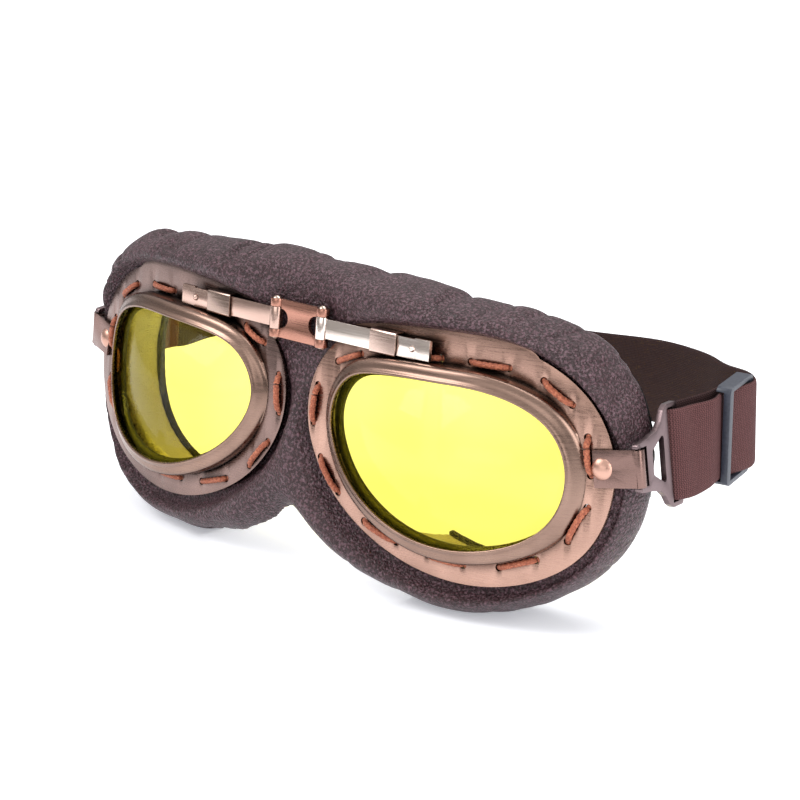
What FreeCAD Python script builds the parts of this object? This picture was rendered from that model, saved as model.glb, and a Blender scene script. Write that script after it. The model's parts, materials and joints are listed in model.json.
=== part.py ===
import FreeCAD, Part
import math
import os

# Flying-style riding goggles, in millimetres. The frame stands upright on the two lower lobes of its mask.
# Everything is first made in the front's own frame: origin midway between the two bridge pins,
# +X across the face, +Y towards the wearer, +Z up along the pins. The front then leans back and is lifted.

V = FreeCAD.Vector

# How the goggles stand
LEAN_DEG = 6.0  # the front leans back by this much
BRIDGE_HEIGHT = 60.8  # bridge centre above the resting plane
BRIDGE_FORWARD = 37.6  # bridge centre in front of the middle of the whole depth

# Surfaces of the front: upright cylinders, bulging forwards
FLANGE_RADIUS = 280.0
FLANGE_NOSE_Y = 0.8  # front of the flange at the nose
BEZEL_RADIUS = 88.0
BEZEL_CREST_X = 31.0  # where the bezel stands furthest forward
BEZEL_CREST_Y = -3.4

# Eyepiece: every outline is the lens opening grown outwards by a distance
OPENING = [
    (75.4, -23.0), (71.3, -12.2), (61.0, -6.8), (45.0, -5.9), (29.0, -6.8), (18.0, -10.4), (13.4, -19.0),
    (17.0, -28.7), (28.0, -37.7), (44.0, -42.8), (61.0, -41.3), (71.9, -34.5),
]
LIP_THICK = 1.1
POCKET_GROW = 2.0  # inside of the bezel wall, round the lens
BEZEL_GROW = 3.5  # outside of the bezel wall
BEZEL_EDGE = 1.2  # rounding of the bezel's outer front edge
COLLAR_GROW = 2.6  # collar of the bezel that is pressed through the flange
COLLAR_DEPTH = 2.8
FLANGE_GROW = 9.6
FLANGE_RISE = 0.6  # its outline sits a little higher
FLANGE_THICK = 0.8
EAR = [  # straighter upper edge of the flange, where the clip stands
    (14.6, -9.0), (14.3, 0.4), (15.5, 3.4), (20.0, 4.7), (30.4, 5.4), (40.0, 5.9), (50.0, 6.0), (58.0, 5.2),
    (66.0, 2.2), (66.0, -5.0), (40.0, -7.0), (24.0, -9.0),
]
LENS_GROW = 1.7
LENS_THICK = 1.8
SEAL_THICK = 1.1
SEAL_WIDTH = 2.3
GAP = 0.1  # between stacked pieces of one eyepiece

# Lacing: holes in the order the cord takes, over the plate from the first to the second and so on
LACE_HOLES = [
    (19.1, -4.3), (12.3, -7.2), (6.6, -13.9), (5.8, -23.0), (8.9, -30.8), (15.0, -38.0),
    (23.4, -43.2), (33.0, -46.1), (41.7, -47.2), (51.2, -47.6), (60.3, -46.3), (69.0, -42.8),
    (75.9, -37.1), (79.7, -28.8), (79.8, -21.4), (78.4, -13.1), (74.2, -6.5), (67.3, -2.3),
    (58.7, -0.8), (49.2, -1.0), (41.4, -1.5), (33.9, -2.0),
]
HOLE_RADIUS = 0.9
LACE_RADIUS = 0.62
LACE_BEND = 0.8
LACE_STAND = 0.15  # air between the lace and the plate

# Bridge
PIN_X = 7.6
PIN_RADIUS = 0.9
PIN_FIT = 0.05
KNUCKLE_RADIUS = 1.6
BRIDGE_HALF = 4.6  # half height of the link
ARM_KNUCKLE_HALF = 2.6
KNUCKLE_GAP = 0.12
ARM_TILT_DEG = 1.2  # the arm follows the curve of the flange
ARM_THICK = 0.9
ARM_HALF = 2.3
ARM_LENGTH = 33.3
TAB_LENGTH = 4.4  # wider end of the arm
TAB_HIGH = 2.6
TAB_LOW = 2.1
NOTCH_RADIUS = 2.3
CLIP_START = 15.7  # from the pin, along the arm
CLIP_LENGTH = 7.8
CLIP_WALL = 0.5
SLIDE_FIT = 0.1
STOP_AT = 28.2
STOP_RADIUS = 0.75

# Strap hardware
BRACKET_Z = -19.4
BRACKET_TURN_DEG = 9.0  # its outer end is turned up
BRACKET_HALF = 4.2
BRACKET_THICK = 0.8
BRACKET_AIR = 0.06  # the bracket is flat, the flange is curved
RIVET_X = 82.4
BRACKET_BACK = 2.0  # from the rivet to the bracket's inner end
BRACKET_OUT = 8.0  # from the rivet to the axis of its rolled eye
EYE_RADIUS = 1.55
EYE_BORE = 0.85
EYE_LEAN_DEG = 3.5  # the strap pulls the eye a little off square
BUCKLE_SWING_DEG = 95.0  # direction of the buckle at rest, from +X towards +Y
BUCKLE_THICK = 1.4
BUCKLE_OUTLINE = [  # from the hinge bar outwards, upper half
    (-1.0, 5.4), (3.2, 5.9), (7.2, 6.7), (9.2, 8.5), (10.4, 10.6), (12.0, 11.7), (16.2, 11.7),
]
BUCKLE_WINDOW = [(5.0, 2.7), (9.9, 5.8)]
EYE_SLOT = 2.7
STRAP_SLOT = (12.1, 14.3)
HINGE_BAR_RADIUS = 0.75
STRAP_HALF = 10.3
STRAP_THICK = 1.2
STRAP_STEPS = 150
ADJUSTER_AT = V(90.3, 50.0, -13.1)
ADJUSTER_TURN_DEG = 103.0  # direction of the strap through the adjuster
ADJUSTER_RISE_DEG = 9.0  # it climbs towards the back
ADJUSTER_HALF_LENGTH = 6.6
ADJUSTER_HALF = 11.8
ADJUSTER_THICK = 3.5
ADJUSTER_BAR = 1.9
STRAP_REAR = [
    (78.4, 63.0, -12.0), (70.0, 68.6, -12.0), (60.0, 74.0, -12.3), (48.0, 78.8, -13.0), (28.0, 82.6, -15.0),
]
STRAP_BACK = (0.0, 84.0, -16.5)
SEWN_LOOP = [  # along and outwards from the left buckle's hinge
    (27.0, 1.0), (22.5, 0.8), (18.5, -0.9), (15.4, -2.1), (13.1, 0.0), (15.2, 2.15), (18.5, 2.7), (23.0, 2.7),
]
STRAP_LEFT = [(87.6, 54.0, -13.6), (89.8, 46.0, -15.6)]

# Mask
MASK_HALF_OUTLINE = [
    (0.0, 14.6), (22.0, 13.6), (46.0, 11.8), (65.0, 9.6), (76.8, 4.4), (83.6, -4.0), (86.8, -15.0),
    (87.2, -28.0), (84.0, -39.0), (75.0, -49.6), (61.5, -57.2), (45.0, -60.3), (28.0, -58.6), (13.0, -54.0),
    (4.0, -48.5), (0.0, -46.8),
]
MASK_THICK = 16.0
NOSE_HALF_OUTLINE = [  # the padding is thin here, to clear the nose
    (0.0, -6.0), (13.0, -8.5), (24.0, -17.0), (31.0, -31.0), (34.0, -46.0), (31.0, -66.0), (0.0, -76.0),
]
NOSE_THICK = 4.0
MASK_CLEAR = 0.3
MASK_ROUND = 7.4
EYE_HOLE_GROW = 3.3
GROOVE_DEPTH = 3.2
GROOVE_HALF = 1.5
LINING_THICK = 3.0
LINING_INSET = 4.6


def closed_curve(points):
    """A smooth closed outline through (x, z) points, in the plane of the front."""
    curve = Part.BSplineCurve()
    curve.interpolate(Points=[V(x, 0, z) for x, z in points], PeriodicFlag=True)
    return curve


def grown(curve, distance, count=32):
    """The same outline, moved outwards by a distance (the curve runs anticlockwise from the front)."""
    first, last = curve.FirstParameter, curve.LastParameter
    points = []
    for i in range(count):
        at = first + (last - first) * i / count
        along = curve.tangent(at)[0]
        here = curve.value(at)
        points.append((here.x + along.z * distance, here.z - along.x * distance))
    return closed_curve(points)


def prism(curve, front=-30.0, depth=90.0):
    """Everything inside an outline, from front to front + depth along Y."""
    face = Part.Face(Part.Wire(curve.toShape()))
    face.translate(V(0, front, 0))
    return face.extrude(V(0, depth, 0))


def behind(radius, x, y):
    """Everything behind an upright cylinder whose front line is at (x, y)."""
    return Part.makeCylinder(radius, 200, V(x, y + radius, -110), V(0, 0, 1))


def block(x0, x1, y0, y1, z0, z1):
    return Part.makeBox(x1 - x0, y1 - y0, z1 - z0, V(x0, y0, z0))


def upright(radius, x, y, z0, z1):
    return Part.makeCylinder(radius, z1 - z0, V(x, y, z0), V(0, 0, 1))


def plate(points, thick):
    """A flat plate: outline of (x, z) points, centred on y = 0."""
    corners = [V(x, -thick / 2, z) for x, z in points]
    face = Part.Face(Part.makePolygon(corners + corners[:1]))
    return face.extrude(V(0, thick, 0))


def rounded_plate(points, thick, radius):
    """The same, with its corners rounded."""
    solid = plate(points, thick)
    corners = [e for e in solid.Edges if abs(e.tangentAt(e.FirstParameter).y) > 0.99]
    return solid.makeFillet(radius, corners)


def flange_y(x, depth=0.0):
    """Y of the flange's front at x, or of the surface a depth behind it."""
    radius = FLANGE_RADIUS - depth
    return FLANGE_NOSE_Y + FLANGE_RADIUS - math.sqrt(radius**2 - x**2)


def behind_flange(depth=0.0):
    return behind(FLANGE_RADIUS - depth, 0, FLANGE_NOSE_Y + depth)


def behind_bezel(depth=0.0):
    return behind(BEZEL_RADIUS - depth, BEZEL_CREST_X, BEZEL_CREST_Y + depth)


def swept_rod(points, radius, bend):
    """A round rod along straight runs joined by tangent arcs."""
    edges = []
    last = points[0]
    for before, corner, after in zip(points, points[1:], points[2:]):
        inward = (corner - before).normalize()
        outward = (after - corner).normalize()
        turn = inward.getAngle(outward)
        cut = bend * math.tan(turn / 2)
        start = corner - inward * cut
        end = corner + outward * cut
        middle = corner + (outward - inward).normalize() * (bend / math.cos(turn / 2) - bend)
        edges.append(Part.LineSegment(last, start).toShape())
        edges.append(Part.Arc(start, middle, end).toShape())
        last = end
    edges.append(Part.LineSegment(last, points[-1]).toShape())
    path = Part.Wire(edges)
    section = Part.Wire(Part.Circle(points[0], points[1] - points[0], radius).toShape())
    return path.makePipeShell([section], True, True)


opening = closed_curve(OPENING)


def make_flange():
    outline = grown(opening, FLANGE_GROW)
    outline.translate(V(0, 0, FLANGE_RISE))
    ring = curved_slab(outline, 0, FLANGE_THICK)
    ring = ring.fuse(curved_slab(closed_curve(EAR), 0, FLANGE_THICK))
    ring = ring.cut(prism(grown(opening, COLLAR_GROW + GAP)))
    drills = [Part.makeCylinder(HOLE_RADIUS, 30, V(x, -5, z), V(0, 1, 0)) for x, z in LACE_HOLES]
    rivet_hole = on_flange(Part.makeCylinder(1.0, 6, V(0, -3, 0), V(0, 1, 0)))
    return ring.cut(Part.makeCompound(drills)).cut(rivet_hole)


def make_bezel():
    body = prism(grown(opening, BEZEL_GROW)).common(behind_bezel())
    front_edge = min(body.Edges, key=lambda e: e.BoundBox.YMin)
    body = body.makeFillet(BEZEL_EDGE, [front_edge]).cut(behind_flange())
    collar = prism(grown(opening, COLLAR_GROW)).common(behind_bezel(LIP_THICK))
    body = body.fuse(collar.cut(behind_flange(COLLAR_DEPTH)))
    body = body.cut(prism(grown(opening, POCKET_GROW)).common(behind_bezel(LIP_THICK)))
    return body.cut(prism(opening))


def stacked_plate(grow, depth, thick):
    plug = prism(grown(opening, grow)).common(behind_bezel(depth))
    return plug.cut(behind_bezel(depth + thick))


def make_lens():
    return stacked_plate(LENS_GROW, LIP_THICK + GAP, LENS_THICK)


def make_seal():
    ring = stacked_plate(LENS_GROW, LIP_THICK + 2 * GAP + LENS_THICK, SEAL_THICK)
    return ring.cut(prism(grown(opening, LENS_GROW - SEAL_WIDTH)))


def make_lacing():
    """One cord, over the plate between one pair of holes and under it to the next pair."""
    runs = []
    for i, start in enumerate(LACE_HOLES):
        end = LACE_HOLES[(i + 1) % len(LACE_HOLES)]
        over = i % 2 == 0
        lift = LACE_RADIUS + LACE_STAND
        ends = []
        for x, z in (start, end):
            middle = flange_y(x, FLANGE_THICK / 2)
            outer = flange_y(x) - lift if over else flange_y(x, FLANGE_THICK) + lift
            ends.append((V(x, middle, z), V(x, outer, z)))
        (low_a, top_a), (low_b, top_b) = ends
        runs.append(swept_rod([low_a, top_a, top_b, low_b], LACE_RADIUS, LACE_BEND))
    return Part.makeCompound(runs)


def make_pin():
    """A plain pin with a low dome on each end."""
    pin = upright(PIN_RADIUS, PIN_X, 0, -BRIDGE_HALF, BRIDGE_HALF)
    for end in (-1, 1):
        dome = Part.makeSphere(PIN_RADIUS + 0.5, V(PIN_X, 0, 0))
        slab = block(PIN_X - 3, PIN_X + 3, -3, 3, 0.7, 3)
        dome = dome.common(slab)
        if end < 0:
            dome = dome.mirror(V(0, 0, 0), V(0, 0, 1))
        dome.translate(V(0, 0, end * (BRIDGE_HALF - 0.7)))
        pin = pin.fuse(dome)
    return pin.removeSplitter()


def make_link():
    """The middle plate of the bridge, rolled round both pins above and below the arms' knuckles."""
    half = ARM_THICK / 2
    link = block(-PIN_X, PIN_X, -half, half, -BRIDGE_HALF, BRIDGE_HALF)
    for side in (-1, 1):
        x = side * PIN_X
        link = link.cut(upright(KNUCKLE_RADIUS + 0.3, x, 0, -BRIDGE_HALF, BRIDGE_HALF))
        notch_x = side * (PIN_X - KNUCKLE_RADIUS - 0.3)
        link = link.cut(Part.makeCylinder(NOTCH_RADIUS, 4, V(notch_x, -2, 0), V(0, 1, 0)))
        roll = upright(KNUCKLE_RADIUS, x, 0, -BRIDGE_HALF, BRIDGE_HALF)
        inner = side * (PIN_X - KNUCKLE_RADIUS - 0.5)
        tab = block(min(inner, x), max(inner, x), -half, half, -BRIDGE_HALF, BRIDGE_HALF)
        roll = roll.fuse(tab)
        middle = ARM_KNUCKLE_HALF + KNUCKLE_GAP
        roll = roll.cut(block(x - 4, x + 4, -4, 4, -middle, middle))
        link = link.fuse(roll).cut(upright(PIN_RADIUS + 0.01, x, 0, -10, 10))
    return link.removeSplitter()


def tilted(shape):
    """From the arm's own frame (X along the arm, origin on the pin) to the front's."""
    shape.rotate(V(0, 0, 0), V(0, 0, 1), ARM_TILT_DEG)
    shape.translate(V(PIN_X, 0, 0))
    return shape


def make_arm():
    """Knuckle and strip of the bridge arm, with a stop dimple and a wider end."""
    half = ARM_THICK / 2
    arm = block(0, ARM_LENGTH - TAB_LENGTH, -half, half, -ARM_HALF, ARM_HALF)
    arm = arm.fuse(block(ARM_LENGTH - TAB_LENGTH, ARM_LENGTH, -half, half, -TAB_LOW, TAB_HIGH))
    arm = arm.fuse(upright(KNUCKLE_RADIUS, 0, 0, -ARM_KNUCKLE_HALF, ARM_KNUCKLE_HALF))
    arm = arm.cut(upright(PIN_RADIUS + PIN_FIT, 0, 0, -10, 10))
    dimple = Part.makeSphere(STOP_RADIUS, V(STOP_AT, -half, 0))
    return tilted(arm.fuse(dimple.common(block(STOP_AT - 2, STOP_AT + 2, -4, 0, -2, 2))))


def make_clip():
    """Square sleeve that stands on the flange's ear and guides the arm."""
    half = ARM_THICK / 2 + SLIDE_FIT
    high = ARM_HALF + SLIDE_FIT
    end = CLIP_START + CLIP_LENGTH
    sleeve = block(CLIP_START, end, -half - CLIP_WALL, 8, -high - CLIP_WALL, high + CLIP_WALL)
    front_edges = [
        e for e in sleeve.Edges
        if abs(e.CenterOfMass.y + half + CLIP_WALL) < 1e-6 and abs(e.tangentAt(e.FirstParameter).x) > 0.99
    ]
    sleeve = sleeve.makeFillet(0.8, front_edges)
    sleeve = sleeve.cut(block(CLIP_START - 1, end + 1, -half, 8, -high, high))
    return tilted(sleeve).cut(behind_flange(-0.02))


def on_flange(shape):
    """From a frame whose origin is the rivet (X along the bracket, Y into the flange) to the front's."""
    shape.rotate(V(0, 0, 0), V(0, 1, 0), -BRACKET_TURN_DEG)
    shape.rotate(V(0, 0, 0), V(0, 0, 1), rivet_slope_deg())
    shape.translate(V(RIVET_X, flange_y(RIVET_X), BRACKET_Z))
    return shape


def rivet_slope_deg():
    return math.degrees(math.asin(RIVET_X / FLANGE_RADIUS))


def at_eye(shape):
    """From a frame on the eye's axis to the rivet's frame."""
    shape.rotate(V(0, 0, 0), V(1, 0, 0), EYE_LEAN_DEG)
    shape.translate(V(BRACKET_OUT, EYE_RADIUS - BRACKET_THICK - BRACKET_AIR, 0))
    return shape


def make_bracket():
    """Strip riveted to the flange, its outer end rolled into an eye for the buckle."""
    top = -BRACKET_THICK - BRACKET_AIR
    strip = block(-BRACKET_BACK, BRACKET_OUT, top, top + BRACKET_THICK, -BRACKET_HALF, BRACKET_HALF)
    strip = strip.fuse(at_eye(upright(EYE_RADIUS, 0, 0, -BRACKET_HALF, BRACKET_HALF)))
    strip = strip.cut(at_eye(upright(EYE_BORE, 0, 0, -9, 9)))
    return on_flange(strip.cut(Part.makeCylinder(1.0, 9, V(0, -5, 0), V(0, 1, 0))))


def make_rivet():
    """Round-headed rivet through the bracket and the flange, spread out behind."""
    top = -BRACKET_THICK - BRACKET_AIR
    head = Part.makeSphere(2.4, V(0, top + 1.4, 0)).common(block(-3, 3, top - 2, top, -3, 3))
    tail_y = FLANGE_THICK + BRACKET_AIR
    shank = Part.makeCylinder(0.98, tail_y - top, V(0, top, 0), V(0, 1, 0))
    tail = Part.makeCone(1.7, 1.2, 0.6, V(0, tail_y, 0), V(0, 1, 0))
    return on_flange(head.fuse([shank, tail]))


def in_plan(turn_deg, along, outward):
    """Distances along a direction and outwards from it, as a vector of the plan."""
    turn = math.radians(turn_deg)
    return V(
        along * math.cos(turn) + outward * math.sin(turn),
        along * math.sin(turn) - outward * math.cos(turn),
        0,
    )


def buckle_point(along, outward, up=0.0):
    """A point given from the buckle's hinge line, along the buckle, outwards and up."""
    local = in_plan(BUCKLE_SWING_DEG - rivet_slope_deg(), along, outward) + V(0, 0, up)
    return on_flange(at_eye(Part.Vertex(local))).Point


def at_adjuster(shape):
    """From a frame with X along the strap and -Y outwards to the adjuster's place."""
    shape.rotate(V(0, 0, 0), V(0, 1, 0), -ADJUSTER_RISE_DEG)
    shape.rotate(V(0, 0, 0), V(0, 0, 1), ADJUSTER_TURN_DEG)
    shape.translate(ADJUSTER_AT)
    return shape


def adjuster_point(along, outward, up=0.0):
    return at_adjuster(Part.Vertex(V(along, -outward, up))).Point


def make_buckle():
    """Flat strap buckle: hinge bar, a window, and a slot with a bar for the strap."""
    lower = [(u, -w) for u, w in reversed(BUCKLE_OUTLINE)]
    body = rounded_plate(BUCKLE_OUTLINE + lower, BUCKLE_THICK, 0.8)
    window = BUCKLE_WINDOW + [(u, -w) for u, w in reversed(BUCKLE_WINDOW)]
    body = body.cut(rounded_plate(window, 4, 0.7))
    slot_half = BRACKET_HALF + 0.25
    body = body.cut(block(-3, EYE_SLOT, -3, 3, -slot_half, slot_half))
    body = body.cut(block(*STRAP_SLOT, -3, 3, -STRAP_HALF - 0.4, STRAP_HALF + 0.4))
    bar = upright(HINGE_BAR_RADIUS, 0, 0, -slot_half - 0.8, slot_half + 0.8)
    body = body.fuse(bar)
    body.rotate(V(0, 0, 0), V(0, 0, 1), BUCKLE_SWING_DEG - rivet_slope_deg())
    return on_flange(at_eye(body))


def strap_stations():
    """Lower and upper edge of the strap, from its end at the adjuster round to its end at the left buckle."""

    def stations(place, steps):
        return [(place(a, n, -STRAP_HALF), place(a, n, STRAP_HALF)) for a, n in steps]

    def free(places):
        return [(V(x, y, z - STRAP_HALF), V(x, y, z + STRAP_HALF)) for x, y, z in places]

    def mirrored(pairs):
        return [tuple(V(-p.x, p.y, p.z) for p in pair) for pair in pairs]

    right = stations(adjuster_point, [(0.5, -2.9), (-5.5, -3.4)])
    right += stations(buckle_point, [(18.5, -2.8), (15.2, -2.15), (13.1, 0.0), (15.2, 2.15), (18.0, 2.7)])
    right += stations(adjuster_point, [(-10.2, -0.7), (-5.7, -0.9), (0.0, 0.9), (5.7, -0.9), (9.0, -1.4)])
    left = stations(buckle_point, SEWN_LOOP) + free(STRAP_LEFT[::-1] + STRAP_REAR)
    return right + free(STRAP_REAR + [STRAP_BACK]) + mirrored(left)[::-1]


def through_points(points, parameters):
    curve = Part.BSplineCurve()
    curve.interpolate(Points=points, Parameters=parameters)
    return curve


def make_strap():
    """The webbing, standing on edge, as one ribbon of constant width and thickness."""
    stations = strap_stations()
    middles = [(low + high) * 0.5 for low, high in stations]
    at = [0.0]
    for one, two in zip(middles, middles[1:]):
        at.append(at[-1] + (two - one).Length)
    lower = through_points([low for low, high in stations], at)
    upper = through_points([high for low, high in stations], at)
    sections = []
    for i in range(STRAP_STEPS + 1):
        here = at[-1] * i / STRAP_STEPS
        low, high = lower.value(here), upper.value(here)
        along = lower.tangent(here)[0] + upper.tangent(here)[0]
        aside = along.cross(high - low).normalize() * (STRAP_THICK / 2)
        corners = [low - aside, low + aside, high + aside, high - aside]
        sections.append(Part.makePolygon(corners + corners[:1]))
    return Part.makeLoft(sections, True, False)


def make_adjuster():
    """Three-bar slide: the strap runs under its end bars and over its middle one."""
    half = ADJUSTER_THICK / 2
    rail = STRAP_HALF + 0.4
    long = ADJUSTER_HALF_LENGTH
    body = block(-long, long, -half, half, -ADJUSTER_HALF, ADJUSTER_HALF)
    round_edges = [e for e in body.Edges if abs(e.tangentAt(e.FirstParameter).y) > 0.99]
    body = body.makeFillet(1.6, round_edges)
    body = body.cut(block(-9, 9, -0.15, 9, -rail, rail).cut(block(-1.1, 1.1, 0.1, 9, -rail, rail)))
    body = body.cut(block(-long + ADJUSTER_BAR, long - ADJUSTER_BAR, -9, 0.2, -rail, rail))
    return at_adjuster(body)


def symmetric_outline(half):
    """A closed outline from its right half, given from the top down."""
    return closed_curve(half[::-1][:-1] + [(-x, z) for x, z in half][:-1])


def mask_outline(inset=0.0):
    outline = symmetric_outline(MASK_HALF_OUTLINE)
    return grown(outline, -inset, 44) if inset else outline


def curved_slab(outline, depth, thick):
    """The part of a prism between two surfaces that follow the flange."""
    return prism(outline).common(behind_flange(depth)).cut(behind_flange(depth + thick))


def both_sides(shape):
    return [shape, shape.mirror(V(0, 0, 0), V(1, 0, 0))]


def lace_line(grow):
    """An outline through the lacing holes, moved outwards."""
    return grown(closed_curve(LACE_HOLES), grow, 44)


def make_mask():
    """Padded leather mask: a thick curved roll, thin at the nose, with eye holes and a lacing groove."""
    depth = FLANGE_THICK + MASK_CLEAR
    body = curved_slab(mask_outline(), depth, MASK_THICK)
    body = body.makeFillet(MASK_ROUND, [e for e in body.Edges if e.Length > 100])
    groove = curved_slab(lace_line(GROOVE_HALF), depth - 1, GROOVE_DEPTH + 1)
    groove = groove.cut(prism(lace_line(-GROOVE_HALF)))
    pocket = on_flange(Part.makeCylinder(2.1, 2.4, V(0, 0, 0), V(0, 1, 0)))
    for cutter in (prism(grown(opening, EYE_HOLE_GROW)), groove, pocket):
        for tool in both_sides(cutter):
            body = body.cut(tool)
    body = body.cut(prism(symmetric_outline(NOSE_HALF_OUTLINE)).common(behind_flange(depth + NOSE_THICK)))
    rest = block(-100, 100, -60, 90, -90, -BRIDGE_HEIGHT)
    rest.rotate(V(0, 0, 0), V(1, 0, 0), LEAN_DEG)
    return body.cut(rest)


def make_lining():
    """Soft ring round both eyes on the face side, open over the nose."""
    back = FLANGE_THICK + MASK_CLEAR + MASK_THICK
    ring = curved_slab(mask_outline(LINING_INSET), back + 0.02, LINING_THICK)
    for tool in both_sides(prism(grown(opening, EYE_HOLE_GROW + 1.5))):
        ring = ring.cut(tool)
    return ring.cut(prism(symmetric_outline(NOSE_HALF_OUTLINE)))


def both(name, shape, nodes):
    """Adds a right-hand piece and its mirror image."""
    nodes[name + "_right"] = shape
    nodes[name + "_left"] = shape.mirror(V(0, 0, 0), V(1, 0, 0))


def main():
    nodes = {}
    both("flange", make_flange(), nodes)
    both("rim", make_bezel(), nodes)
    both("lens", make_lens(), nodes)
    both("lens_seal", make_seal(), nodes)
    both("lacing", make_lacing(), nodes)
    both("hinge_pin", make_pin(), nodes)
    both("bridge_arm", make_arm(), nodes)
    both("box_clip", make_clip(), nodes)
    both("strap_bracket", make_bracket(), nodes)
    both("bracket_rivet", make_rivet(), nodes)
    both("strap_buckle", make_buckle(), nodes)
    nodes["bridge_link"] = make_link()
    nodes["elastic_strap"] = make_strap()
    nodes["strap_adjuster"] = make_adjuster()
    nodes["leather_mask"] = make_mask()
    nodes["face_lining"] = make_lining()
    os.makedirs("parts", exist_ok=True)
    for name, shape in nodes.items():
        shape = shape.copy()
        shape.rotate(V(0, 0, 0), V(1, 0, 0), -LEAN_DEG)
        shape.translate(V(0, -BRIDGE_FORWARD, BRIDGE_HEIGHT))
        shape.exportStep("parts/" + name + ".step")


main()
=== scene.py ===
import json
import math

import bmesh
import bpy
import numpy as np
from mathutils import Matrix, Vector, kdtree, noise


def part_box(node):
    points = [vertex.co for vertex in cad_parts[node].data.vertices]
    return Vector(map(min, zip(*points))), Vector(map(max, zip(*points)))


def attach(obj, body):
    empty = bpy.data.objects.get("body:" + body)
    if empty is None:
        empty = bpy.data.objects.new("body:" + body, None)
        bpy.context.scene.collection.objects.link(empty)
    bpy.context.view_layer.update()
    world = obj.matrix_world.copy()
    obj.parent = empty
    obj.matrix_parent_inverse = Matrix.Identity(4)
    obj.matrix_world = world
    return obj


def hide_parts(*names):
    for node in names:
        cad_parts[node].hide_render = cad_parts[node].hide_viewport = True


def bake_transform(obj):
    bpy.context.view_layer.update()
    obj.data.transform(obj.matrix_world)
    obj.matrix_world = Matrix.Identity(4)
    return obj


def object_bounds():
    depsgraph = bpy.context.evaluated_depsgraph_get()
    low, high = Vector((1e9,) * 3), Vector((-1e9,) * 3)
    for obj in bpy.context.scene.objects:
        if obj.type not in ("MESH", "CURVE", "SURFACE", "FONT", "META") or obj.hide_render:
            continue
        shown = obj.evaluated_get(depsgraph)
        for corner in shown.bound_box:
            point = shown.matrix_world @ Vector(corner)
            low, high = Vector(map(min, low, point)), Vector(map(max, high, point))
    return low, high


# Riding goggles. Outlines are in millimetres, in the front's own frame: origin midway between the bridge
# pins, +X across the face, +Y towards the wearer, +Z up along the pins. place() gives the CAD's metres.

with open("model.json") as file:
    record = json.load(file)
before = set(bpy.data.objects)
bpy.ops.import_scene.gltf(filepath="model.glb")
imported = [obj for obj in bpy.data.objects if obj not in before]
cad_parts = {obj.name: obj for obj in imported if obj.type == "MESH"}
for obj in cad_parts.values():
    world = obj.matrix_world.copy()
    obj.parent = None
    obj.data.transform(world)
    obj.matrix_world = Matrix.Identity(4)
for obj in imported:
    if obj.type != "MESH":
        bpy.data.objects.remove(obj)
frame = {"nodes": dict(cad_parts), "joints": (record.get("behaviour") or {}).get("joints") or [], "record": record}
cad_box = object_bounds()
joints = {joint["name"]: joint for joint in frame["joints"]}
SIDES = {"left": -1, "right": 1}

bridge = joints["bridge_hinge_right"]
UP = Vector(bridge["axis"]).normalized()
BACK = UP.cross(Vector((1, 0, 0))).normalized()
MIDDLE = Vector((0, bridge["pos_m"][1], bridge["pos_m"][2]))

# Eyepiece outline and the surfaces of the front, as in the CAD
OPENING = [
    (75.4, -23.0), (71.3, -12.2), (61.0, -6.8), (45.0, -5.9), (29.0, -6.8), (18.0, -10.4), (13.4, -19.0),
    (17.0, -28.7), (28.0, -37.7), (44.0, -42.8), (61.0, -41.3), (71.9, -34.5),
]
FLANGE_RADIUS, FLANGE_NOSE_Y, FLANGE_THICK = 280.0, 0.8, 0.8
BEZEL_RADIUS, BEZEL_CREST_X, BEZEL_CREST_Y = 88.0, 31.0, -3.4
FLANGE_GROW = 9.6
MASK_HALF_OUTLINE = [
    (0.0, 14.6), (22.0, 13.6), (46.0, 11.8), (65.0, 9.6), (76.8, 4.4), (83.6, -4.0), (86.8, -15.0),
    (87.2, -28.0), (84.0, -39.0), (75.0, -49.6), (61.5, -57.2), (45.0, -60.3), (28.0, -58.6), (13.0, -54.0),
    (4.0, -48.5), (0.0, -46.8),
]

MASK_ROUND = 7.4  # rounding of the mask's rear edge
LINING_DEPTH = 17.1  # from the flange's front to the lining's middle

# Soft pieces: voxel in metres, then the passes of smoothing; and how far from the middle they are split beside the
# nose
LEATHER_EVEN = (0.0009, 10)
LINING_EVEN = (0.0005, 8)
NOSE_SEAM = 13.2
GROOVE_FLOOR = [(-2.2, 4.2), (2.2, 4.2), (2.2, 6.0), (-2.2, 6.0)]  # across the lacing, behind the flange

# Rim profile: grown from the opening, and behind the bezel's front (None is the flange)
RIM_PROFILE = [
    (3.5, None), (3.52, 3.6), (3.5, 2.3), (3.38, 1.75), (3.05, 1.25), (2.6, 0.95), (2.0, 0.8),
    (1.45, 0.66), (1.05, 0.5), (0.82, 0.25), (0.55, 0.05), (0.3, 0.02), (0.1, 0.12), (0.0, 0.35),
    (0.0, 1.12), (1.9, 1.14),
]

# Lacing: holes in the order the cord takes, over the plate from the first to the second and so on
LACE_HOLES = [
    (19.1, -4.3), (12.3, -7.2), (6.6, -13.9), (5.8, -23.0), (8.9, -30.8), (15.0, -38.0),
    (23.4, -43.2), (33.0, -46.1), (41.7, -47.2), (51.2, -47.6), (60.3, -46.3), (69.0, -42.8),
    (75.9, -37.1), (79.7, -28.8), (79.8, -21.4), (78.4, -13.1), (74.2, -6.5), (67.3, -2.3),
    (58.7, -0.8), (49.2, -1.0), (41.4, -1.5), (33.9, -2.0),
]
CORD_RADIUS = 0.744
CORD_TWIST = 4.2
STITCH_SHORT = 0.4

# Rivets: how much wider the head is hammered, how deep it is and where it faces (X for the right side)
HEAD_SPREAD = 1.25
HEAD_DEPTH = 0.0012
HEAD_FACING = (0.293, -0.95, 0.1)

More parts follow.
